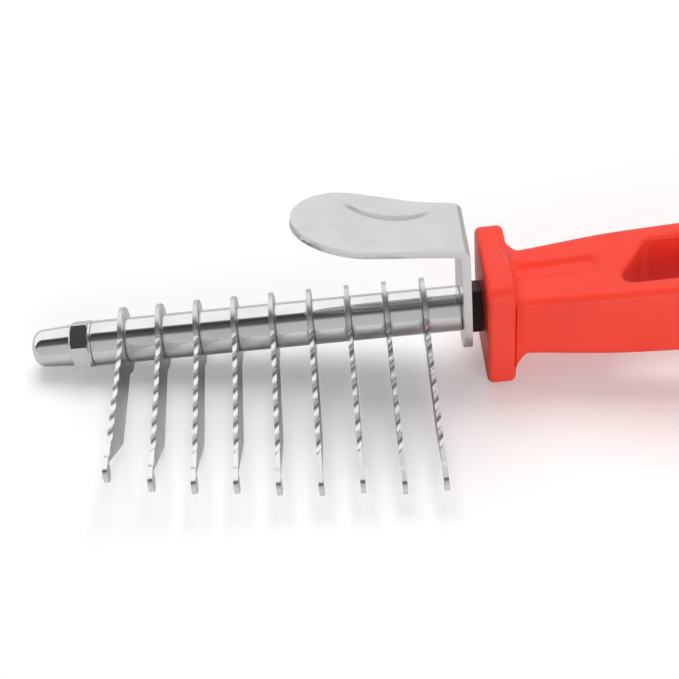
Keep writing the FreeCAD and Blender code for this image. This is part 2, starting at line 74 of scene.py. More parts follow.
def new_object(name: str, mesh: bpy.types.Mesh) -> bpy.types.Object:
    """Put a mesh in the scene as an object at the origin."""
    thing = bpy.data.objects.new(name, mesh)
    bpy.context.scene.collection.objects.link(thing)
    return thing


def clean(shape: bmesh.types.BMesh, merge: float = MERGE) -> None:
    """Merge doubled points, drop slivers and turn the faces one way.

    Args:
        shape: the mesh being built.
        merge: points nearer than this become one.
    """
    bmesh.ops.remove_doubles(shape, verts=shape.verts, dist=merge)
    bmesh.ops.dissolve_degenerate(shape, dist=SLIVER, edges=shape.edges)
    bmesh.ops.recalc_face_normals(shape, faces=shape.faces)


def object_from(name: str, shape: bmesh.types.BMesh) -> bpy.types.Object:
    """Turn a finished mesh in building into an object.

    Args:
        name: the new object's name.
        shape: the mesh being built, which is freed.

    Returns:
        The new object.
    """
    mesh = bpy.data.meshes.new(name)
    shape.to_mesh(mesh)
    shape.free()
    return new_object(name, mesh)


def smooth(thing: bpy.types.Object, sharp_degrees: float = 35.0) -> bpy.types.Object:
    """Shade a mesh smooth, with edges sharper than the given angle kept crisp.

    Args:
        thing: the object.
        sharp_degrees: edges that turn by more than this stay crisp.

    Returns:
        The same object.
    """
    mesh = thing.data
    mesh.polygons.foreach_set("use_smooth", [True] * len(mesh.polygons))
    mesh.set_sharp_from_angle(angle=math.radians(sharp_degrees))
    return thing


def mesh_from_rings(name: str, rings: Sequence[Ring], closed_along: bool = False) -> bpy.types.Object:
    """Skin a row of rings that have the same number of points.

    Args:
        name: the new object's name.
        rings: the rings in order. A ring of one repeated point makes a pole.
        closed_along: join the last ring to the first, as in a tube bent into a hoop.

    Returns:
        The new object, merged, with its faces pointing outwards.
    """
    shape = bmesh.new()
    rows = [[shape.verts.new(point) for point in ring] for ring in rings]
    pairs = list(zip(rows, rows[1:]))
    if closed_along:
        pairs.append((rows[-1], rows[0]))
    for lower, upper in pairs:
        count = len(lower)
        for here in range(count):
            there = (here + 1) % count
            shape.faces.new((lower[here], lower[there], upper[there], upper[here]))
    clean(shape)
    return object_from(name, shape)


def turned(name: str, outline: Sequence[Point2], ring_shape: bool, segments: int = 144,
           limit: Callable[[float], float] | None = None) -> bpy.types.Object:
    """Turn an outline of (x, radius) points about the rod's axis.

    Args:
        name: the new object's name.
        outline: points along the rod, in metres.
        ring_shape: the outline is a closed loop, as for a ring with a bore.
        segments: steps round the axis.
        limit: the largest radius at an angle, for a bar that isn't round.

    Returns:
        The turned object.
    """
    rings: list[Ring] = []
    for x, radius in outline:
        ring = []
        for step in range(segments):
            angle = 2 * math.pi * step / segments
            reach = min(radius, limit(angle)) if limit else radius
            ring.append(Vector((x, reach * math.cos(angle), reach * math.sin(angle))))
        rings.append(ring)
    return mesh_from_rings(name, rings, closed_along=ring_shape)


def arc(centre: Point2, radius: float, start: float, end: float, steps: int) -> list[Point2]:
    """Points on an arc, angles in degrees, both ends included.

    Args:
        centre: the arc's centre.
        radius: its radius.
        start: the first point's angle.
        end: the last point's angle.
        steps: how many parts it is divided into.

    Returns:
        The points in order.
    """
    points = []
    for step in range(steps + 1):
        angle = math.radians(start + (end - start) * step / steps)
        points.append((centre[0] + radius * math.cos(angle), centre[1] + radius * math.sin(angle)))
    return points


def finer(outline: Sequence[Point2], step: float) -> list[Point2]:
    """The same polyline with extra points, no further apart than step.

    Args:
        outline: the points to start from.
        step: the longest part that is left.

    Returns:
        The denser polyline.
    """
    points = [outline[0]]
    for here, there in zip(outline, outline[1:]):
        parts = max(1, math.ceil(math.dist(here, there) / step))
        for part in range(1, parts + 1):
            share = part / parts
            points.append((here[0] + (there[0] - here[0]) * share,
                           here[1] + (there[1] - here[1]) * share))
    return points


def quarter_round(steps: int, first: int = 0) -> list[Point2]:
    """How far a rounded edge falls back, in equal steps of a quarter turn.

    Args:
        steps: how many parts the quarter turn is divided into.
        first: the first step wanted.

    Returns:
        For each step, the shares of the radius still to go (1 - sine) and already gone (1 - cosine).
    """
    turns = [math.pi / 2 * step / steps for step in range(first, steps + 1)]
    return [(1 - math.sin(turn), 1 - math.cos(turn)) for turn in turns]


def opaque(colour: Colour, share: float = 1.0) -> tuple[float, float, float, float]:
    """A colour, darkened to a share of itself, with full alpha."""
    return (*(share * part for part in colour), 1.0)


def smoothstep(low: float, high: float, value: float) -> float:
    """0 below low, 1 above high, and a soft rise between."""
    share = min(1.0, max(0.0, (value - low) / (high - low)))
    return share * share * (3 - 2 * share)


def eased(stations: Sequence[tuple[float, float]], at: float) -> float:
    """A smooth curve through (place, value) stations, with slopes from the neighbours.

    Args:
        stations: the places and their values, in order.
        at: the place asked for.

    Returns:
        The value there, and beyond the ends the end's own value.
    """
    if at <= stations[0][0]:
        return stations[0][1]
    if at >= stations[-1][0]:
        return stations[-1][1]
    index = max(i for i, station in enumerate(stations[:-1]) if station[0] <= at)

    def slope(i: int) -> float:
        before, after = stations[max(i - 1, 0)], stations[min(i + 1, len(stations) - 1)]
        return (after[1] - before[1]) / (after[0] - before[0])

    (x0, y0), (x1, y1) = stations[index], stations[index + 1]
    span = x1 - x0
    share = (at - x0) / span
    cube, square = share ** 3, share ** 2
    return ((2 * cube - 3 * square + 1) * y0 + (cube - 2 * square + share) * span * slope(index)
            + (3 * square - 2 * cube) * y1 + (cube - square) * span * slope(index + 1))


def apply_modifiers(thing: bpy.types.Object) -> bpy.types.Object:
    """Bake the modifiers into a plain mesh and remove them.

    Args:
        thing: the object.

    Returns:
        The same object, with its new mesh.
    """
    graph = bpy.context.evaluated_depsgraph_get()
    baked = bpy.data.meshes.new_from_object(thing.evaluated_get(graph))
    old = thing.data
    thing.modifiers.clear()
    thing.data = baked
    bpy.data.meshes.remove(old)
    baked.name = thing.name
    return thing


def cut_away(thing: bpy.types.Object, cutter: bpy.types.Object) -> bpy.types.Object:
    """Subtract a closed cutter from a closed mesh, then remove the cutter.

    Args:
        thing: what is cut.
        cutter: the shape taken away.

    Returns:
        The object that was cut.
    """
    step = thing.modifiers.new("cut", "BOOLEAN")
    step.operation = "DIFFERENCE"
    step.solver = "EXACT"
    step.object = cutter
    apply_modifiers(thing)
    bpy.data.objects.remove(cutter)
    return thing


# ------------------------------------------------------------------ shader building blocks

class Links:
    """Adds nodes to a tree and joins them, left to right."""

    def __init__(self, tree: bpy.types.NodeTree) -> None:
        """Start on an empty or new tree."""
        self.tree = tree
        self.count = 0

    def add(self, kind: str, **settings: object) -> bpy.types.Node:
        """Add a node; a setting that names an input sets its value, any other its property.

        Args:
            kind: the node's type.
            settings: properties, or inputs by their names in small letters.

        Returns:
            The node.
        """
        node = self.tree.nodes.new(kind)
        node.location = (self.count * 190, -(self.count % 4) * 160)
        self.count += 1
        for name, value in settings.items():
            socket = name.replace("_", " ").title()
            if hasattr(node, name):
                setattr(node, name, value)
            elif socket in node.inputs:
                node.inputs[socket].default_value = value
            else:
                raise KeyError(f"{kind} has no {name}")
        return node

    def join(self, source: bpy.types.NodeSocket, target: bpy.types.NodeSocket) -> None:
        """Link an output to an input."""
        self.tree.links.new(source, target)

    def maths(self, operation: str, *values: object) -> bpy.types.NodeSocket:
        """A Math node on sockets and numbers.

        Args:
            operation: Blender's name for the operation.
            values: sockets or numbers, in order.

        Returns:
            The node's output.
        """
        node = self.add("ShaderNodeMath")
        node.operation = operation
        for index, value in enumerate(values):
            if isinstance(value, bpy.types.NodeSocket):
                self.join(value, node.inputs[index])
            else:
                node.inputs[index].default_value = value
        return node.outputs[0]

    def remap(self, source: bpy.types.NodeSocket, low: float, high: float, out_low: float,
              out_high: float) -> bpy.types.NodeSocket:
        """Map one range of values onto another, clamped.

        Args:
            source: the value.
            low: where its range starts.
            high: where it ends.
            out_low: what low becomes.
            out_high: what high becomes.

        Returns:
            The mapped value.
        """
        node = self.add("ShaderNodeMapRange")
        self.join(source, node.inputs["Value"])
        for name, value in (("From Min", low), ("From Max", high), ("To Min", out_low),
                            ("To Max", out_high)):
            node.inputs[name].default_value = value
        return node.outputs["Result"]

    def mix(self, share: bpy.types.NodeSocket, first: object, second: object) -> bpy.types.NodeSocket:
        """Mix two colours by a mask.

        Args:
            share: the mask.
            first: the colour or socket where the mask is 0.
            second: the colour or socket where it is 1.

        Returns:
            The mixed colour.
        """
        node = self.add("ShaderNodeMix")
        node.data_type = "RGBA"
        self.join(share, node.inputs[0])
        for socket, value in ((node.inputs[6], first), (node.inputs[7], second)):
            if isinstance(value, bpy.types.NodeSocket):
                self.join(value, socket)
            else:
                socket.default_value = value
        return node.outputs[2]

    def axes(self, coordinates: str) -> bpy.types.bpy_prop_collection:
        """Split one kind of texture coordinates into X, Y and Z.

        Args:
            coordinates: the Texture Coordinate output, such as Object.

        Returns:
            The outputs X, Y and Z.
        """
        place = self.add("ShaderNodeTexCoord")
        apart = self.add("ShaderNodeSeparateXYZ")
        self.join(place.outputs[coordinates], apart.inputs["Vector"])
        return apart.outputs


class Effect(Enum):
    """The shared surface effects, each built once as a node group."""

    FINE_GRAIN = "fine_grain"
    HANDLING_MARKS = "handling_marks"
    TURNING_LINES = "turning_lines"


def group_for(effect: Effect) -> bpy.types.NodeTree:
    """Get a shared effect's node group, building it the first time.

    Args:
        effect: which effect.

    Returns:
        Its node group.
    """
    found = bpy.data.node_groups.get(effect.value)
    return found or GROUP_BUILDERS[effect]()


def start_group(effect: Effect, inputs: Iterable[tuple[str, float]],
                outputs: Iterable[str]) -> tuple[bpy.types.NodeTree, Links, bpy.types.Node, bpy.types.Node]:
    """Make an empty effect group with named number inputs and outputs.

    Args:
        effect: which effect.
        inputs: names and first values.
        outputs: names.

    Returns:
        The group, its links, and its input and output nodes.
    """
    tree = bpy.data.node_groups.new(effect.value, "ShaderNodeTree")
    for name, value in inputs:
        socket = tree.interface.new_socket(name, in_out="INPUT", socket_type="NodeSocketFloat")
        socket.default_value = value
    for name in outputs:
        tree.interface.new_socket(name, in_out="OUTPUT", socket_type="NodeSocketFloat")
    links = Links(tree)
    return tree, links, links.add("NodeGroupInput"), links.add("NodeGroupOutput")


def stretched_noise(links: Links, scale: bpy.types.NodeSocket | float, stretch: Sequence[float],
                    detail: float) -> bpy.types.NodeSocket:
    """Noise on Object coordinates, stretched along the axes.

    Args:
        links: the tree.
        scale: the noise scale, or a socket that gives it.
        stretch: the factor on each axis.
        detail: the noise's detail.

    Returns:
        The noise, about 0 to 1.
    """
    place = links.add("ShaderNodeTexCoord")
    mapping = links.add("ShaderNodeMapping")
    mapping.inputs["Scale"].default_value = tuple(stretch)
    noise = links.add("ShaderNodeTexNoise", detail=detail)
    links.join(place.outputs["Object"], mapping.inputs["Vector"])
    links.join(mapping.outputs["Vector"], noise.inputs["Vector"])
    if isinstance(scale, bpy.types.NodeSocket):
        links.join(scale, noise.inputs["Scale"])
    else:
        noise.inputs["Scale"].default_value = scale
    return noise.outputs[0]


def build_fine_grain() -> bpy.types.NodeTree:
    """Short brushed grain along the rod, as a height and as a roughness change.

    Returns:
        The node group.
    """
    tree, links, inside, out = start_group(
        Effect.FINE_GRAIN, (("Scale", 900.0), ("Strength", 0.1)), ("Height", "Roughness"))
    grain = stretched_noise(links, inside.outputs["Scale"], (0.12, 1.0, 1.0), 4.0)
    centred = links.maths("SUBTRACT", grain, 0.5)
    links.join(links.maths("MULTIPLY", centred, inside.outputs["Strength"]), out.inputs["Roughness"])
    links.join(grain, out.inputs["Height"])
    return tree


def build_handling_marks() -> bpy.types.NodeTree:
    """Broad cloudy smears and a few fine hairline scratches left by handling.

    Returns:
        The node group.
    """
    tree, links, inside, out = start_group(
        Effect.HANDLING_MARKS, (("Smear Scale", 120.0), ("Scratch Scale", 420.0)),
        ("Smears", "Scratches"))
    smears = stretched_noise(links, inside.outputs["Smear Scale"], (1.0, 1.3, 0.8), 3.0)
    hairs = stretched_noise(links, inside.outputs["Scratch Scale"], (0.08, 1.0, 2.4), 6.0)
    links.join(links.remap(smears, 0.38, 0.66, 0.0, 1.0), out.inputs["Smears"])
    links.join(links.remap(hairs, 0.66, 0.72, 0.0, 1.0), out.inputs["Scratches"])
    return tree


def build_turning_lines() -> bpy.types.NodeTree:
    """The faint rings that a lathe tool leaves round a turned part.

    Returns:
        The node group.
    """
    tree, links, inside, out = start_group(
        Effect.TURNING_LINES, (("Lines Each Metre", 5200.0),), ("Height",))
    along = links.maths("MULTIPLY", links.axes("Object")["X"], inside.outputs["Lines Each Metre"])
    wave = links.maths("SINE", along)
    drift = stretched_noise(links, 700.0, (1.0, 0.05, 0.05), 2.0)
    links.join(links.maths("MULTIPLY", wave, drift), out.inputs["Height"])
    return tree


GROUP_BUILDERS: dict[Effect, Callable[[], bpy.types.NodeTree]] = {
    Effect.FINE_GRAIN: build_fine_grain,
    Effect.HANDLING_MARKS: build_handling_marks,
    Effect.TURNING_LINES: build_turning_lines,
}


def place_group(links: Links, effect: Effect, **values: float) -> bpy.types.Node:
    """Place a shared effect in a material with its own values.

    Args:
        links: the material's tree.
        effect: which effect.
        values: its inputs, in small letters.

    Returns:
        The group node.
    """
    node = links.add("ShaderNodeGroup")
    node.node_tree = group_for(effect)
    for name, value in values.items():
        node.inputs[name.replace("_", " ").title()].default_value = value
    return node


def start_material(name: str) -> tuple[bpy.types.Material, Links, bpy.types.Node]:
    """Make a material that holds a Principled shader and its output.

    Args:
        name: the material's name.

    Returns:
        The material, its links and the shader.
    """
    material = bpy.data.materials.new(name)
    material.use_nodes = True
    material.node_tree.nodes.clear()
    links = Links(material.node_tree)
    shader = links.add("ShaderNodeBsdfPrincipled")
    output = links.add("ShaderNodeOutputMaterial")
    links.join(shader.outputs["BSDF"], output.inputs["Surface"])
    return material, links, shader


def add_bump(links: Links, shader: bpy.types.Node, height: bpy.types.NodeSocket, strength: float,
             distance: float) -> None:
    """Feed a height to the shader's normal.

    Args:
        links: the material's tree.
        shader: the Principled shader.
        height: the height.
        strength: how strong the bump is.
        distance: how deep it is, in metres.
    """
    bump = links.add("ShaderNodeBump")
    bump.inputs["Strength"].default_value = strength
    bump.inputs["Distance"].default_value = distance
    links.join(height, bump.inputs["Height"])
    links.join(bump.outputs["Normal"], shader.inputs["Normal"])


# ------------------------------------------------------------------ finishes

@dataclass(frozen=True)
class MetalFinish:
    """A bare or plated metal: grain, handling marks and, on turned parts, tool rings."""

    name: str
    colour: Colour
    shade: Colour
    roughness: float
    smear_gain: float
    grain_height: float
    turned: bool = False
    grain_scale: float = 900.0
    grain_under_lines: float = 0.3
    least_roughness: float = 0.03
    bump_depth: float = 0.02 * MM

    def make(self) -> bpy.types.Material:
        """Build the material.

        Returns:
            The material.
        """
        material, links, shader = start_material(self.name)
        shader.inputs["Metallic"].default_value = 1.0
        marks = place_group(links, Effect.HANDLING_MARKS)
        grain = place_group(links, Effect.FINE_GRAIN, scale=self.grain_scale, strength=0.08)
        colour = links.mix(marks.outputs["Smears"], opaque(self.colour), opaque(self.shade))
        links.join(colour, shader.inputs["Base Color"])
        smear = links.maths("MULTIPLY", marks.outputs["Smears"], self.smear_gain)
        scratch = links.maths("MULTIPLY", marks.outputs["Scratches"], self.smear_gain)
        rough = links.maths("ADD", links.maths("ADD", smear, scratch), self.roughness)
        rough = links.maths("ADD", rough, grain.outputs["Roughness"])
        links.join(links.maths("MAXIMUM", rough, self.least_roughness), shader.inputs["Roughness"])
        height = grain.outputs["Height"]
        if self.turned:
            lines = place_group(links, Effect.TURNING_LINES)
            height = links.maths("ADD", lines.outputs["Height"],
                                 links.maths("MULTIPLY", height, self.grain_under_lines))
        add_bump(links, shader, height, self.grain_height, self.bump_depth)
        return material


@dataclass(frozen=True)
class BladeFinish:
    """Blade steel: dull rolled flats, and bright ground edges and serrations."""

    name: str = "blade_steel"
    flat_colour: Colour = (0.78, 0.785, 0.79)
    ground_colour: Colour = (0.96, 0.96, 0.95)
    flat_roughness: float = 0.36
    ground_roughness: float = 0.30
    ground_from: float = 7.0 * MM
    ground_fade: float = 2.0 * MM
    flat_facing: Point2 = (0.90, 0.98)
    smear_share: float = 0.9
    bump_depth: float = 0.02 * MM

    def make(self) -> bpy.types.Material:
        """Build the material.

        The flats are the faces square to the rod, and the head isn't ground.

        Returns:
            The material.
        """
        material, links, shader = start_material(self.name)
        shader.inputs["Metallic"].default_value = 1.0
        square_on = links.maths("ABSOLUTE", links.axes("Normal")["X"])
        along = links.remap(links.axes("Object")["Y"], -self.ground_from - self.ground_fade,
                            -self.ground_from, 1.0, 0.0)
        ground = links.maths("MULTIPLY", links.remap(square_on, *self.flat_facing, 1.0, 0.0), along)
        marks = place_group(links, Effect.HANDLING_MARKS, smear_scale=160.0, scratch_scale=700.0)
        grain = place_group(links, Effect.FINE_GRAIN, scale=1400.0, strength=0.12)
        worn = links.mix(marks.outputs["Smears"], opaque(self.flat_colour),
                         opaque(self.flat_colour, self.smear_share))
        colour = links.mix(ground, worn, opaque(self.ground_colour))
        links.join(colour, shader.inputs["Base Color"])
        rough = links.remap(ground, 0.0, 1.0, self.flat_roughness, self.ground_roughness)
        links.join(links.maths("ADD", rough, grain.outputs["Roughness"]), shader.inputs["Roughness"])
        add_bump(links, shader, grain.outputs["Height"], 0.18, self.bump_depth)
        return material


@dataclass(frozen=True)
class PlateFinish:
    """Satin plate whose cut edges are tumbled bright."""

    name: str = "satin_steel"
    face_colour: Colour = (0.70, 0.70, 0.70)
    edge_colour: Colour = (0.93, 0.93, 0.92)
    face_roughness: float = 0.24
    edge_roughness: float = 0.17
    edge_facing: Point2 = (0.45, 0.75)
    smear_share: float = 0.94
    bump_depth: float = 0.02 * MM

    def make(self) -> bpy.types.Material:
        """Build the material, whose cut edges are the faces turned to either side.

        Returns:
            The material.
        """
        material, links, shader = start_material(self.name)
        shader.inputs["Metallic"].default_value = 1.0
        sideways = links.maths("ABSOLUTE", links.axes("Normal")["Y"])
        edge = links.remap(sideways, *self.edge_facing, 0.0, 1.0)
        marks = place_group(links, Effect.HANDLING_MARKS, smear_scale=140.0)
        grain = place_group(links, Effect.FINE_GRAIN, scale=1500.0, strength=0.08)
        face = links.mix(marks.outputs["Smears"], opaque(self.face_colour),
                         opaque(self.face_colour, self.smear_share))
        links.join(links.mix(edge, face, opaque(self.edge_colour)), shader.inputs["Base Color"])
        rough = links.remap(edge, 0.0, 1.0, self.face_roughness, self.edge_roughness)
        links.join(links.maths("ADD", rough, grain.outputs["Roughness"]), shader.inputs["Roughness"])
        add_bump(links, shader, grain.outputs["Height"], 0.10, self.bump_depth)
        return material


@dataclass(frozen=True)
class PlasticFinish:
    """Satin-gloss moulded plastic with a fine mould grain and faint colour swirls."""

    name: str
    colour: Colour
    swirl: Colour
    roughness: float
    smear_gain: float = 0.06
    scuff_gain: float = 0.08
    pebble_scale: float = 2600.0
    pebble_depth: float = 0.04 * MM

    def make(self) -> bpy.types.Material:
        """Build the material.

        Returns:
            The material.
        """
        material, links, shader = start_material(self.name)
        shader.inputs["Specular IOR Level"].default_value = 0.42
        shader.inputs["Coat Roughness"].default_value = 0.2
        marks = place_group(links, Effect.HANDLING_MARKS, smear_scale=55.0, scratch_scale=260.0)
        links.join(links.mix(marks.outputs["Smears"], opaque(self.colour), opaque(self.swirl)),
                   shader.inputs["Base Color"])
        smear = links.maths("MULTIPLY", marks.outputs["Smears"], self.smear_gain)
        scuff = links.maths("MULTIPLY", marks.outputs["Scratches"], self.scuff_gain)
        links.join(links.maths("ADD", links.maths("ADD", smear, scuff), self.roughness),
                   shader.inputs["Roughness"])
        pebbles = stretched_noise(links, self.pebble_scale, (1.0, 1.0, 1.0), 2.0)
        add_bump(links, shader, pebbles, 0.12, self.pebble_depth)
        return material


class Palette:
    """All the finishes of the comb, made once."""

    def __init__(self) -> None:
        """Build every material."""
        self.polished = MetalFinish(
            "polished_steel", colour=(0.88, 0.885, 0.89), shade=(0.80, 0.805, 0.81), roughness=0.06,
            smear_gain=0.05, grain_height=0.10, turned=True).make()
        self.satin = PlateFinish().make()
        self.blade = BladeFinish().make()
        self.rod = MetalFinish(
            "rod_steel", colour=(0.60, 0.61, 0.62), shade=(0.5, 0.5, 0.51), roughness=0.3,
            smear_gain=0.1, grain_height=0.3).make()
        self.black = MetalFinish(
            "black_steel", colour=(0.035, 0.034, 0.036), shade=(0.06, 0.055, 0.055), roughness=0.28,
            smear_gain=0.12, grain_height=0.3).make()
        self.brass = MetalFinish(
            "insert_brass", colour=(0.72, 0.55, 0.25), shade=(0.62, 0.45, 0.2), roughness=0.3,
            smear_gain=0.1, grain_height=0.2, turned=True).make()
        self.red = PlasticFinish("red_plastic", colour=(0.95, 0.058, 0.031),
                                 swirl=(0.91, 0.052, 0.027), roughness=0.34).make()


def dress(thing: bpy.types.Object, material: bpy.types.Material) -> None:
    """Give a piece or a CAD node its one material."""
    thing.data.materials.clear()
    thing.data.materials.append(material)


def place_piece(thing: bpy.types.Object, body: str, nodes: Iterable[str]) -> None:
    """Put a dressed piece in the frame and report it.

    Args:
        thing: the piece.
        body: the body that it moves with.
        nodes: the CAD nodes that it stands for.
    """
    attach(thing, body)
    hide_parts(*nodes)
    LOG.info("%s: %d faces", thing.name, len(thing.data.polygons))


# ------------------------------------------------------------------ geometry nodes

def row_tree(name: str) -> bpy.types.NodeTree:
    """A tree that repeats its geometry along the rod, with inputs for the count, step and material.

    Args:
        name: the tree's name.

    Returns:
        The tree.
    """
    tree = bpy.data.node_groups.new(name, "GeometryNodeTree")
    face = tree.interface
    face.new_socket("Geometry", in_out="INPUT", socket_type="NodeSocketGeometry")
    face.new_socket("Count", in_out="INPUT", socket_type="NodeSocketInt")
    face.new_socket("Step", in_out="INPUT", socket_type="NodeSocketFloat")
    face.new_socket("Material", in_out="INPUT", socket_type="NodeSocketMaterial")
    face.new_socket("Geometry", in_out="OUTPUT", socket_type="NodeSocketGeometry")
    links = Links(tree)
    inside = links.add("NodeGroupInput")
    offset = links.add("ShaderNodeCombineXYZ")
    line = links.add("GeometryNodeMeshLine")
    line.mode = "OFFSET"
    spread = links.add("GeometryNodeInstanceOnPoints")
    real = links.add("GeometryNodeRealizeInstances")
    paint = links.add("GeometryNodeSetMaterial")
    out = links.add("NodeGroupOutput")
    links.join(inside.outputs["Step"], offset.inputs["X"])
    links.join(inside.outputs["Count"], line.inputs["Count"])
    links.join(offset.outputs["Vector"], line.inputs["Offset"])
    links.join(line.outputs["Mesh"], spread.inputs["Points"])
    links.join(inside.outputs["Geometry"], spread.inputs["Instance"])
    links.join(spread.outputs["Instances"], real.inputs["Geometry"])
    links.join(real.outputs["Geometry"], paint.inputs["Geometry"])
    links.join(inside.outputs["Material"], paint.inputs["Material"])
    links.join(paint.outputs["Geometry"], out.inputs["Geometry"])
    return tree


def run_tree(thing: bpy.types.Object, tree: bpy.types.NodeTree, **values: object) -> bpy.types.Object:
    """Run a geometry tree on an object with its inputs set, and bake the result.

    Args:
        thing: the object.
        tree: the geometry tree.
        values: its inputs, in small letters.

    Returns:
        The same object, as a plain mesh.
    """
    step = thing.modifiers.new(tree.name, "NODES")
    step.node_group = tree
    wanted = {name.replace("_", " ").title(): value for name, value in values.items()}
    for item in tree.interface.items_tree:
        if item.item_type == "SOCKET" and item.in_out == "INPUT" and item.name in wanted:
            step[item.identifier] = wanted[item.name]
    return apply_modifiers(thing)


# ------------------------------------------------------------------ sub-assemblies

@dataclass
class BladeStack:
    """The blades, the spacers between them and the washer under the cap nut."""

    palette: Palette
    blade_count: int = 9
    spacer_edge: float = 0.32 * MM
    bore: float = ROD_BORE
    rim: float = 0.22 * MM
    round_steps: int = 6
    along_step: float = 0.6 * MM

    def build(self) -> None:
        """Make the spacers and the washer, and dress the blades."""
        self.build_spacers()
        self.build_washer()
        for number in range(1, self.blade_count + 1):
            dress(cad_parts[f"blade_{number}"], self.palette.blade)
        LOG.info("blades dressed: %d", self.blade_count)

    def ring_outline(self, start: float, end: float, outer: float, edge: float) -> list[Point2]:
        """The section of a bored ring whose outside edges are rounded.

        Args:
            start: where the ring starts along the rod.
            end: where it ends.
            outer: its outside radius.
            edge: the edges' radius.

        Returns:
            Points of X and radius.
        """
        return [(start, self.bore), (start, outer - edge),
                *arc((start + edge, outer - edge), edge, 180, 90, self.round_steps),
                *arc((end - edge, outer - edge), edge, 90, 0, self.round_steps),
                (end, self.bore)]

    def build_spacers(self) -> None:
        """One turned spacer, repeated along the rod, and the shorter one beside the cap nut."""
        low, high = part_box("spacer_2")
        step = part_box("spacer_3")[0].x - low.x
        tree = row_tree("spacers_along_rod")
        end_low, end_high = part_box("spacer_1")
        rows = (("spacer_row", low.x, high.x, self.blade_count, range(2, self.blade_count + 2)),
                ("end_spacer", end_low.x, end_high.x, 1, range(1, 2)))
        for name, start, end, count, numbers in rows:
            outline = finer(self.ring_outline(start, end, high.z, self.spacer_edge),
                            self.along_step)
            row = smooth(turned(name, outline, ring_shape=True))
            run_tree(row, tree, count=count, step=step, material=self.palette.polished)
            place_piece(row, "handle", [f"spacer_{number}" for number in numbers])

    def build_washer(self) -> None:
        """The thin bright washer, with a rounded rim."""
        low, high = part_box("nut_washer")
        outline = self.ring_outline(low.x, high.x, high.z, self.rim)
        washer = smooth(turned("washer_ring", outline, ring_shape=True))
        dress(washer, self.palette.polished)
        place_piece(washer, "washer", ["nut_washer"])


@dataclass
class CapNut:
    """The acorn nut: a chamfered hexagon with a waisted, rounded dome."""

    palette: Palette
    flats: float = 10.0 * MM
    chamfer: float = 0.45 * MM
    hexagon_length: float = 4.1 * MM
    dome_base: float = 4.7 * MM
    dome_waist: float = 4.3 * MM
    bore: float = ROD_BORE
    bore_depth: float = 10.8 * MM
    turned_by: float = 24.0
    face_chamfer: float = 0.27 * MM
    shoulder_run: float = 0.2 * MM
    shoulder_rise: float = 0.15 * MM
    nose: float = 2.9 * MM
    nose_lead: float = 0.1 * MM
    tip_point: Point2 = (0.02 * MM, 0.7 * MM)
    nose_steps: int = 22
    outline_step: float = 0.16 * MM
    segments: int = 288
    sharp_degrees: float = 25.0

    def hexagon_reach(self, angle: float) -> float:
        """How far the hexagon's side is from the axis at an angle about the rod.

        Args:
            angle: the angle, in radians.

        Returns:
            The distance, in metres.
        """
        side = math.radians(60)
        offset = (angle - math.radians(self.turned_by)) % side - side / 2
        return self.flats / 2 / math.cos(offset)

    def build(self) -> None:
        """Make the nut in place of its CAD node."""
        low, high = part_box("cap_nut")
        face, tip = high.x, low.x
        corner = self.flats / math.sqrt(3)
        shoulder = face - self.hexagon_length
        nose = self.nose
        outline = [
            (face - self.bore_depth, 0.0), (face - self.bore_depth, self.bore), (face, self.bore),
            (face, corner - self.chamfer), (face - self.face_chamfer, corner),
            (shoulder + self.chamfer, corner), (shoulder, self.dome_base + self.shoulder_rise),
            (shoulder - self.shoulder_run, self.dome_base),
        ]
        round_start = (tip + nose, self.dome_waist - nose)
        outline.append((tip + nose + self.nose_lead, self.dome_waist))
        outline += arc(round_start, nose, 90, 180, self.nose_steps)
        outline += [(tip + self.tip_point[0], self.tip_point[1]), (tip, 0.0)]
        nut = turned("acorn_nut", finer(outline, self.outline_step), ring_shape=False,
                     segments=self.segments, limit=self.hexagon_reach)
        smooth(nut, self.sharp_degrees)
        dress(nut, self.palette.polished)
        place_piece(nut, "cap_nut", ["cap_nut"])


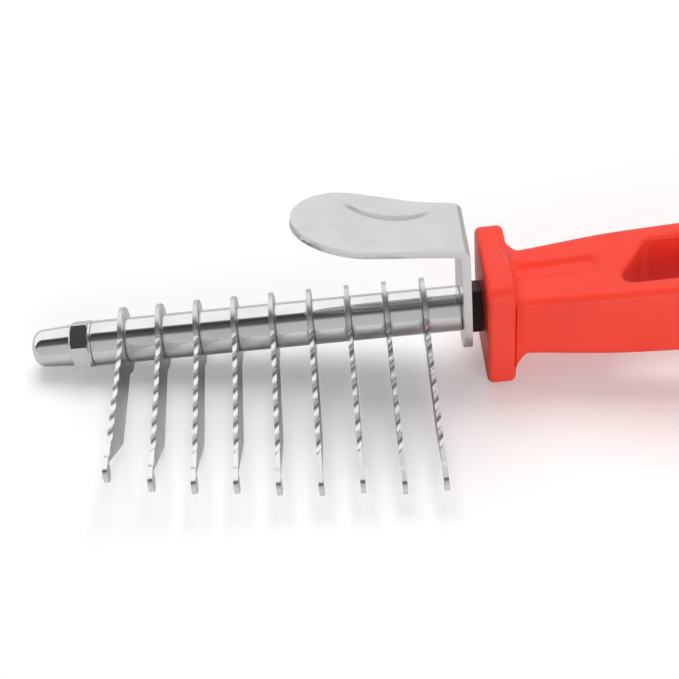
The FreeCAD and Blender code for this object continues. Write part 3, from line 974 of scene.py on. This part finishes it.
@dataclass
class ThumbRest:
    """The bent plate: an upright round the rod, a bend, and a leaf with a pressed dish."""

    palette: Palette
    thick: float = 1.8 * MM
    bend_height: float = 23.5 * MM
    bend_round: float = 2.6 * MM
    tilt: float = 12.0
    leaf_length: float = 37.5 * MM
    bend_half: float = 7.95 * MM
    wide_half: float = 9.9 * MM
    wide_at: float = 22.5 * MM
    round_half: float = 9.0 * MM
    dish_centre: float = 16.0 * MM
    dish_half: float = 13.0 * MM
    dish_start: float = 0.2 * MM
    dish_bow: float = 6.0 * MM
    dish_wall: float = 4.4 * MM
    dish_recovers: float = 0.50
    dish_depth: float = 1.3 * MM
    dish_flat_to: float = 0.35
    dish_gone_by: float = 1.1
    widening: float = 1.25
    edge_round: float = 0.42 * MM
    edge_segments: int = 3
    edge_degrees: float = 50.0
    sharp_degrees: float = 40.0
    merge: float = 4e-6
    columns: int = 56
    upright_rows: int = 60
    bend_rows: int = 13
    leaf_rows: int = 75
    leaf_crowding: float = 0.85
    bore: float = ROD_BORE
    bore_segments: int = 48

    def side_path(self) -> list[tuple[Vector, Vector, float]]:
        """The outer face seen from the side.

        Returns:
            For each row: the point on the middle line, the outward normal, and the distance
            along the leaf from the bend's outside corner (negative on the upright).
        """
        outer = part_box("thumb_rest")[1].x
        tilt = math.radians(self.tilt)
        along = Vector((-math.cos(tilt), 0.0, math.sin(tilt)))
        facing = Vector((math.sin(tilt), 0.0, math.cos(tilt)))
        corner = Vector((outer, 0.0, self.bend_height))
        turn = math.pi / 2 - tilt
        inset = self.bend_round * math.tan(turn / 2)
        rows: list[tuple[Vector, Vector, float]] = []
        foot, top = -self.round_half, self.bend_height - inset
        for step in range(self.upright_rows + 1):
            share = step / self.upright_rows
            height = foot + (top - foot) * (1 - math.cos(math.pi * share / 2)) if share < 1 else top
            rows.append((Vector((outer, 0.0, height)), Vector((1.0, 0.0, 0.0)), height - self.bend_height))
        centre = Vector((outer - self.bend_round, 0.0, top))
        for step in range(1, self.bend_rows):
            angle = turn * step / self.bend_rows
            normal = Vector((math.cos(angle), 0.0, math.sin(angle)))
            rows.append((centre + normal * self.bend_round, normal, 0.0))
        for step in range(self.leaf_rows + 1):
            share = step / self.leaf_rows
            eased_share = math.sin(share * math.pi / 2) ** self.leaf_crowding
            reach = inset + (self.leaf_length - inset) * eased_share
            rows.append((corner + along * reach, facing, reach))
        return rows

    def half_width(self, height: float, reach: float) -> float:
        """Half the plate's width at a height on the upright or a reach along the leaf.

        Args:
            height: the middle line's height.
            reach: the distance along the leaf, negative on the upright.

        Returns:
            The half width, in metres.
        """
        if reach > 0:
            if reach <= self.wide_at:
                rise_end = self.wide_at * self.widening
                share = smoothstep(0.0, rise_end, reach)
                return self.bend_half + (self.wide_half - self.bend_half) * share / smoothstep(
                    0.0, rise_end, self.wide_at)
            past = (reach - self.wide_at) / (self.leaf_length - self.wide_at)
            return self.wide_half * math.sqrt(max(0.0, 1 - past ** 2))
        if height >= 0:
            share = height / self.bend_height
            return self.round_half + (self.bend_half - self.round_half) * share
        return math.sqrt(max(0.0, self.round_half ** 2 - height ** 2))

    def dish(self, reach: float, across: float) -> float:
        """How deep the thumb's dish is pressed at a place on the leaf.

        Args:
            reach: the distance along the leaf.
            across: the place across it.

        Returns:
            The depth, in metres.
        """
        offset = (reach - self.dish_centre) / self.dish_half
        along = 1 - smoothstep(self.dish_flat_to, self.dish_gone_by, abs(offset))
        start = self.dish_start + self.dish_bow * offset ** 2
        falls = smoothstep(start, start + self.dish_wall, across)
        rises = self.dish_recovers * smoothstep(self.dish_start + self.dish_wall, self.wide_half, across)
        return self.dish_depth * along * falls * (1 - rises)

    def build(self) -> None:
        """Make the plate in place of its CAD node."""
        shape = bmesh.new()
        rows = []
        for middle, normal, reach in self.side_path():
            half = self.half_width(middle.z, reach)
            row = []
            for column in range(self.columns + 1):
                across = half * (2 * column / self.columns - 1)
                sunk = self.dish(reach, across) if reach > 0 else 0.0
                row.append(shape.verts.new(middle + Vector((0, across, 0)) - normal * sunk))
            rows.append(row)
        for lower, upper in zip(rows, rows[1:]):
            for column in range(self.columns):
                shape.faces.new((lower[column], lower[column + 1], upper[column + 1], upper[column]))
        clean(shape, self.merge)
        shape.faces.ensure_lookup_table()
        if shape.faces[0].normal.x < 0:
            bmesh.ops.reverse_faces(shape, faces=shape.faces)
        plate = object_from("thumb_plate", shape)
        solid = plate.modifiers.new("thickness", "SOLIDIFY")
        solid.thickness = self.thick
        solid.offset = -1.0
        solid.use_even_offset = True
        bevel = plate.modifiers.new("edge", "BEVEL")
        bevel.width = self.edge_round
        bevel.segments = self.edge_segments
        bevel.limit_method = "ANGLE"
        bevel.angle_limit = math.radians(self.edge_degrees)
        apply_modifiers(plate)
        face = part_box("thumb_rest")[1].x
        front, back = face - 3 * self.thick, face + self.thick
        outline = [(front, 0.0), (front, self.bore), (back, self.bore), (back, 0.0)]
        cut_away(plate, turned("rod_hole", outline, ring_shape=False, segments=self.bore_segments))
        smooth(plate, self.sharp_degrees)
        dress(plate, self.palette.satin)
        place_piece(plate, "handle", ["thumb_rest"])


@dataclass
class Grip:
    """The moulded handle: squared flange, flared neck, tapering grip, oval panel and window."""

    palette: Palette
    flange_half: Point2 = (12.2 * MM, 14.5 * MM)
    flange_depth: float = 6.2 * MM
    flange_corner: float = 3.4 * MM
    flange_edge: float = 1.3 * MM
    flare: float = 2.4 * MM
    flare_length: float = 3.2 * MM
    corner: float = 2.4 * MM
    butt_round: float = 1.2 * MM
    half_widths: tuple[tuple[float, float], ...] = (
        (0.0, 9.2 * MM), (10 * MM, 9.55 * MM), (20 * MM, 10.4 * MM), (30 * MM, 11.15 * MM),
        (56 * MM, 11.8 * MM), (85 * MM, 11.2 * MM), (106.2 * MM, 10.2 * MM))
    half_heights: tuple[tuple[float, float], ...] = (
        (0.0, 8.0 * MM), (10 * MM, 8.25 * MM), (25 * MM, 9.05 * MM), (34 * MM, 9.4 * MM),
        (56 * MM, 9.8 * MM), (85 * MM, 9.1 * MM), (106.2 * MM, 8.2 * MM))
    panel: tuple[float, float] = (3.6 * MM, 26.8 * MM)
    panel_half: float = 3.4 * MM
    panel_shift: float = 0.9 * MM
    panel_depth: float = 0.9 * MM
    panel_wall: float = 2.4 * MM
    window_start: float = 28.2 * MM
    window_length: float = 44.0 * MM
    window_half: float = 6.3 * MM
    window_slant: float = 9.0 * MM
    window_corner: float = 2.0 * MM
    window_far_corner: float = 3.6 * MM
    window_steps: int = 10
    rim_round: float = 1.1 * MM
    rim_steps: int = 7
    hang_half: float = 2.5 * MM
    hang_rim: float = 0.6 * MM
    hang_steps: int = 48
    face_insets: tuple[float, ...] = (7.0 * MM, 4.0 * MM, 1.5 * MM)
    butt_insets: tuple[float, ...] = (3.0 * MM, 6.0 * MM)
    face_corner: float = 0.4 * MM
    neck_corner: float = 2.2 * MM
    butt_corner: float = 0.3 * MM
    corner_share: float = 0.3
    flare_curve: float = 1.6
    flare_steps: int = 8
    round_steps: int = 6
    fine_step: float = 0.42 * MM
    coarse_step: float = 1.5 * MM
    last_gap: float = 0.5 * MM
    panel_beyond: float = 2.0 * MM
    panel_lead: float = 1.2 * MM
    top_band: float = 0.3 * MM
    side_steps: int = 46
    corner_steps: int = 8
    sharp_degrees: float = 38.0
    front: float = field(init=False)

    def __post_init__(self) -> None:
        """Find the flange's front face on the frame."""
        self.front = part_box("handle")[0].x

    def section(self, half_width: float, half_height: float, corner: float) -> list[Point2]:
        """A rounded rectangle's outline in Y and Z, always with the same number of points.

        Args:
            half_width: half its width.
            half_height: half its height.
            corner: the corners' radius.

        Returns:
            The points in order.
        """
        a, b = half_width - corner, half_height - corner
        points: list[Point2] = []
        corners = (((a, b), 0), ((-a, b), 90), ((-a, -b), 180), ((a, -b), 270))
        for index, (centre, start) in enumerate(corners):
            quarter = arc(centre, corner, start, start + 90, self.corner_steps)
            points += quarter
            after = corners[(index + 1) % 4]
            ahead = arc(after[0], corner, after[1], after[1], 1)[0]
            for step in range(1, self.side_steps):
                share = step / self.side_steps
                points.append((quarter[-1][0] + (ahead[0] - quarter[-1][0]) * share,
                               quarter[-1][1] + (ahead[1] - quarter[-1][1]) * share))
        return points

    def stations(self) -> list[tuple[float, float, float, float]]:
        """The sections that the grip is skinned over, from the flange's face to the butt.

        Returns:
            For each: its reach behind the flange's front face, half width, half height and corner.
        """
        wide, tall = self.flange_half
        edge, depth, round_off = self.flange_edge, self.flange_depth, self.flange_corner
        rows = [(0.0, wide - edge - inset, tall - edge - inset,
                 max(self.face_corner, round_off - edge - inset * self.corner_share))
                for inset in self.face_insets]
        for to_go, gone in quarter_round(self.round_steps):
            inset = edge * to_go
            rows.append((edge * gone, wide - inset, tall - inset, round_off - inset))
        rows.append((depth / 2, wide, tall, round_off))
        for to_go, gone in quarter_round(self.round_steps):
            inset = edge * gone
            rows.append((depth - edge * to_go, wide - inset, tall - inset, round_off - inset))
        neck_wide, neck_tall = self.half_at(depth)
        flared = (neck_wide + self.flare, neck_tall + self.flare)
        rows.append((depth, (wide - edge + flared[0]) / 2, (tall - edge + flared[1]) / 2,
                     self.neck_corner))
        for step in range(self.flare_steps + 1):
            share = step / self.flare_steps
            reach = depth + self.flare_length * share
            extra = self.flare * (1 - share) ** self.flare_curve
            half = self.half_at(reach)
            rows.append((reach, half[0] + extra, half[1] + extra,
                         self.corner + self.corner_share * extra))
        end = self.half_widths[-1][0]
        reach = depth + self.flare_length
        while reach < end - self.butt_round - self.last_gap:
            near_panel = reach < self.panel[1] + self.panel_beyond
            reach += self.fine_step if near_panel else self.coarse_step
            half = self.half_at(min(reach, end))
            rows.append((min(reach, end - self.butt_round), half[0], half[1], self.corner))
        half = self.half_at(end)
        for to_go, gone in quarter_round(self.round_steps, first=1):
            inset = self.butt_round * gone
            rows.append((end - self.butt_round * to_go, half[0] - inset, half[1] - inset,
                         max(self.butt_corner, self.corner - inset)))
        for inset in self.butt_insets:
            rows.append((end, half[0] - inset, half[1] - inset, self.butt_corner))
        return rows

    def half_at(self, reach: float) -> Point2:
        """The grip's half width and half height behind the flange's front face."""
        return eased(self.half_widths, reach), eased(self.half_heights, reach)

    def panel_drop(self, reach: float, across: float) -> float:
        """How far the oval panel is pressed in at a place on the thumb side.

        Args:
            reach: the distance behind the flange's front face.
            across: the place across the grip.

        Returns:
            The depth, in metres.
        """
        start, end = self.panel[0] + self.panel_half, self.panel[1] - self.panel_half
        beyond = max(0.0, start - reach, reach - end)
        inside = self.panel_half - math.hypot(beyond, across - self.panel_shift)
        return self.panel_depth * smoothstep(0.0, self.panel_wall, inside)

    def rings(self) -> list[Ring]:
        """The handle's rings, with the panel pressed in.

        Returns:
            The rings in order, closed by a pole at each end.
        """
        rows: list[Ring] = []
        for reach, wide, tall, corner in self.stations():
            ring = []
            for across, up in self.section(wide, tall, corner):
                behind_flange = reach > self.flange_depth - self.panel_lead
                if behind_flange and up > tall - self.top_band:
                    up -= self.panel_drop(reach, across)
                ring.append(Vector((self.front + reach, across, up)))
            rows.append(ring)
        rows.insert(0, [Vector((rows[0][0].x, 0, 0))] * len(rows[0]))
        rows.append([Vector((rows[-1][0].x, 0, 0))] * len(rows[0]))
        return rows

    def window_outline(self, outset: float) -> list[Point2]:
        """The window's outline in X and Y, grown outwards by outset.

        Args:
            outset: how far it is grown.

        Returns:
            The points in order.
        """
        start = self.front + self.window_start
        end = start + self.window_length
        half, slant = self.window_half, self.window_slant
        lean = math.hypot(slant, 2 * half) / (2 * half)
        shift = slant * outset / (2 * half)
        corners = [(start - outset * lean - shift, -half - outset),
                   (end + outset * lean + shift, -half - outset),
                   (end - slant + outset * lean - shift, half + outset),
                   (start + slant - outset * lean + shift, half + outset)]
        small, large = self.window_corner + outset, self.window_far_corner + outset
        return rounded_polygon(corners, (small, small, large, large), self.window_steps)

    def hang_outline(self, outset: float) -> list[Point2]:
        """The hang hole's outline in X and Y, grown outwards by outset."""
        step = 360 / self.hang_steps
        return arc((0.0, 0.0), self.hang_half + outset, 0, 360 - step, self.hang_steps - 1)

    def through_cutter(self, name: str, outline: Callable[[float], list[Point2]],
                       rim: float) -> bpy.types.Object:
        """A cutter that goes right through the grip and rounds the rims that it leaves.

        Args:
            name: the cutter's name.
            outline: gives the opening grown by an outset.
            rim: the rims' radius.

        Returns:
            The cutter.
        """
        profile = [(rim * 2.2, 2.5 * rim)]
        profile += [(rim * to_go, -rim * gone) for to_go, gone in quarter_round(self.rim_steps)]
        rows: list[Ring] = []
        for side in (1, -1):
            levels = profile if side > 0 else profile[::-1]
            for outset, above in levels:
                ring = []
                for x, y in outline(outset):
                    surface = self.half_at(x - self.front)[1]
                    ring.append(Vector((x, y, side * (surface + above))))
                rows.append(ring)
        middle_top = sum(rows[0], Vector()) / len(rows[0])
        middle_low = sum(rows[-1], Vector()) / len(rows[-1])
        rows.insert(0, [middle_top] * len(rows[0]))
        rows.append([middle_low] * len(rows[1]))
        return mesh_from_rings(name, rows)

    def build(self) -> None:
        """Make the handle in place of its CAD node."""
        grip = mesh_from_rings("moulded_grip", self.rings())
        cut_away(grip, self.through_cutter("window_cutter", self.window_outline, self.rim_round))
        cut_away(grip, self.through_cutter("hang_cutter", self.hang_outline, self.hang_rim))
        smooth(grip, self.sharp_degrees)
        dress(grip, self.palette.red)
        place_piece(grip, "handle", ["handle"])


def rounded_polygon(corners: Sequence[Point2], radii: Sequence[float], steps: int) -> list[Point2]:
    """A polygon's outline with an arc at each corner.

    Args:
        corners: the corners in order.
        radii: each corner's radius.
        steps: steps round each arc.

    Returns:
        The points in order.
    """
    points: list[Point2] = []
    count = len(corners)
    for index, corner in enumerate(corners):
        here = Vector(corner)
        back = (Vector(corners[index - 1]) - here).normalized()
        ahead = (Vector(corners[(index + 1) % count]) - here).normalized()
        half = back.angle(ahead) / 2
        centre = here + (back + ahead).normalized() * radii[index] / math.sin(half)
        touch = here + back * radii[index] / math.tan(half) - centre
        sweep = math.pi - 2 * half
        turn = 1 if back.cross(ahead) < 0 else -1
        for step in range(steps + 1):
            angle = turn * sweep * step / steps
            spun = Vector((touch.x * math.cos(angle) - touch.y * math.sin(angle),
                           touch.x * math.sin(angle) + touch.y * math.cos(angle)))
            points.append(tuple(centre + spun))
    return points


@dataclass
class Hardware:
    """The rod and the nuts that stay as they are in the frame, with their own finishes."""

    palette: Palette

    def build(self) -> None:
        """Dress the rod, the jam nut and the moulded-in nut."""
        finishes = {"clamp_rod": self.palette.rod, "jam_nut": self.palette.black,
                    "anchor_nut": self.palette.brass}
        for node, material in finishes.items():
            dress(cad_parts[node], material)
        LOG.info("hardware dressed: %d", len(finishes))


# ------------------------------------------------------------------ studio

@dataclass(frozen=True)
class Lamp:
    """A square area lamp that points at the comb."""

    name: str
    place: tuple[float, float, float]
    width: float
    power: float


@dataclass
class Studio:
    """A white table that the comb lies on, soft light from behind and above, and the camera."""

    camera_place: tuple[float, float, float] = (-122.83 * MM, -211.06 * MM, 208.43 * MM)
    camera_turn: tuple[float, float, float] = (45.924, 6.578, -1.27)
    lens: float = 69.658
    shift: Point2 = (0.08203, -0.04941)
    sensor: float = 36.0
    clip_near: float = 0.01
    floor_half: float = 0.42
    floor_drop: float = 0.02 * MM
    floor_white: float = 0.86
    floor_speckle: float = 0.85
    # Painted shade: the table's grey as mirrored in the metal, darker than the white that the camera sees.
    floor_painted_shade_in_reflections: float = 0.66
    floor_glow: float = 0.215
    even_light: float = 0.30
    lamps: tuple[Lamp, ...] = (Lamp("back_light", (-0.10, 0.30, 0.62), 0.5, 3.4),
                               Lamp("front_fill", (0.08, -0.62, 0.11), 0.6, 3.2))
    mirror_ramp: tuple[Point2, ...] = (
        (0.0, 0.55), (0.27, 0.50), (0.33, 0.12), (0.47, 0.04), (0.52, 0.10), (0.56, 1.0),
        (0.92, 1.0), (1.0, 0.35))

    def table_plane(self) -> tuple[Vector, Vector]:
        """The plane that the comb rests on: under the nut, the flange and the last blades' tips.

        Returns:
            A point on it and its upward normal.
        """
        supports = [self.lowest("cap_nut"), self.lowest("handle"), self.lowest("blade_8")]
        first, second, third = supports
        normal = (second - first).cross(third - first).normalized()
        if normal.z < 0:
            normal = -normal
        lowest = min(((vertex.co - first).dot(normal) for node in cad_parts.values()
                      for vertex in node.data.vertices), default=0.0)
        return first + normal * lowest, normal

    @staticmethod
    def middle() -> Vector:
        """The middle of the comb's box."""
        return (Vector(CAD_BOX[0]) + Vector(CAD_BOX[1])) / 2

    @staticmethod
    def lowest(node: str) -> Vector:
        """The lowest point of a node, and of several the one furthest towards the blades.

        Args:
            node: the node's name.

        Returns:
            The point.
        """
        points = [vertex.co.copy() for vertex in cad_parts[node].data.vertices]
        return min(points, key=lambda co: (round(co.z, 4), co.y))

    def build(self) -> None:
        """Make the table, the lights, the world and the camera."""
        point, normal = self.table_plane()
        LOG.info("table normal %s", tuple(round(part, 4) for part in normal))
        self.build_table(point, normal)
        self.build_lights()
        self.build_world()
        self.build_camera()

    def build_table(self, point: Vector, normal: Vector) -> None:
        """A white table top that shows the comb's shadow, and that is painted darker grey where polished
        metal mirrors it (painted shade in the reflections).

        Args:
            point: a point on the table's plane.
            normal: the plane's upward normal.
        """
        middle = self.middle()
        middle -= normal * (middle - point).dot(normal)
        turn = Vector((0, 0, 1)).rotation_difference(normal).to_matrix()
        half = self.floor_half
        corners = [middle + turn @ Vector((a * half, b * half, -self.floor_drop))
                   for a, b in ((-1, -1), (1, -1), (1, 1), (-1, 1))]
        mesh = bpy.data.meshes.new("table")
        mesh.from_pydata(corners, [], [(0, 1, 2, 3)])
        table = new_object("table", mesh)
        material, links, shader = start_material("table_white")
        shader.inputs["Roughness"].default_value = 0.7
        shader.inputs["Specular IOR Level"].default_value = 0.2
        rays = links.add("ShaderNodeLightPath")
        speckle = stretched_noise(links, 90.0, (1.0, 1.0, 1.0), 4.0)
        paper = links.mix(speckle, opaque((self.floor_white,) * 3), opaque((self.floor_speckle,) * 3))
        # Painted shade: glossy rays see the table darker grey than the camera does, so the metal mirrors a
        # painted darker floor.
        mirrored = links.mix(rays.outputs["Is Glossy Ray"], paper, opaque((self.floor_painted_shade_in_reflections,) * 3))
        links.join(mirrored, shader.inputs["Base Color"])
        seen = links.maths("MAXIMUM", rays.outputs["Is Camera Ray"],
                           rays.outputs["Is Transmission Ray"])
        shader.inputs["Emission Color"].default_value = (1.0, 1.0, 1.0, 1.0)
        links.join(links.maths("MULTIPLY", seen, self.floor_glow), shader.inputs["Emission Strength"])
        table.data.materials.append(material)

    def build_lights(self) -> None:
        """A large soft lamp behind and above the comb, and a weaker one in front."""
        for lamp in self.lamps:
            data = bpy.data.lights.new(lamp.name, "AREA")
            data.shape = "SQUARE"
            data.size = lamp.width
            data.energy = lamp.power
            thing = bpy.data.objects.new(lamp.name, data)
            thing.location = lamp.place
            aim = self.middle() - Vector(lamp.place)
            thing.rotation_euler = aim.to_track_quat("-Z", "Y").to_euler()
            thing.visible_glossy = False
            bpy.context.scene.collection.objects.link(thing)

    def build_world(self) -> None:
        """Even light on everything, and a studio for polished metal to mirror."""
        world = bpy.data.worlds.new("studio")
        bpy.context.scene.world = world
        world.use_nodes = True
        world.node_tree.nodes.clear()
        links = Links(world.node_tree)
        rays = links.add("ShaderNodeLightPath")
        apart = links.axes("Generated")
        # Angle about the rod, from straight towards the blades (0) over the top (90) to behind (180).
        forwards = links.maths("MULTIPLY", apart["Y"], -1.0)
        angle = links.maths("ARCTAN2", apart["Z"], forwards)
        degrees = links.maths("MULTIPLY", angle, 180 / math.pi)
        ramp = links.add("ShaderNodeValToRGB")
        links.join(links.remap(degrees, 0.0, 180.0, 0.0, 1.0), ramp.inputs["Fac"])
        elements = ramp.color_ramp.elements
        while len(elements) < len(self.mirror_ramp):
            elements.new(0.5)
        for element, (where, grey) in zip(elements, self.mirror_ramp):
            element.position = where
            element.color = (grey, grey, grey, 1.0)
        even = links.add("ShaderNodeBackground", strength=self.even_light)
        mirrored = links.add("ShaderNodeBackground", strength=1.0)
        links.join(ramp.outputs["Color"], mirrored.inputs["Color"])
        white = links.add("ShaderNodeBackground", strength=1.0)
        for shader in (even, white):
            shader.inputs["Color"].default_value = (1.0, 1.0, 1.0, 1.0)
        first = links.add("ShaderNodeMixShader")
        links.join(rays.outputs["Is Glossy Ray"], first.inputs[0])
        links.join(even.outputs[0], first.inputs[1])
        links.join(mirrored.outputs[0], first.inputs[2])
        second = links.add("ShaderNodeMixShader")
        links.join(rays.outputs["Is Camera Ray"], second.inputs[0])
        links.join(first.outputs[0], second.inputs[1])
        links.join(white.outputs[0], second.inputs[2])
        output = links.add("ShaderNodeOutputWorld")
        links.join(second.outputs[0], output.inputs["Surface"])

    def build_camera(self) -> None:
        """The camera, above and in front of the blades."""
        data = bpy.data.cameras.new("camera")
        data.lens = self.lens
        data.sensor_width = self.sensor
        data.shift_x, data.shift_y = self.shift
        data.clip_start = self.clip_near
        thing = bpy.data.objects.new("camera", data)
        thing.location = self.camera_place
        thing.rotation_euler = Euler([math.radians(turn) for turn in self.camera_turn])
        bpy.context.scene.collection.objects.link(thing)
        bpy.context.scene.camera = thing


def main() -> None:
    """Build the comb's looks and the studio, in order."""
    logging.basicConfig(level=logging.INFO, format="%(name)s: %(message)s")
    bpy.context.scene.view_settings.view_transform = "Standard"
    palette = Palette()
    for part in (BladeStack(palette), CapNut(palette), ThumbRest(palette), Grip(palette),
                 Hardware(palette), Studio()):
        part.build()


if __name__ == "__main__":
    main()
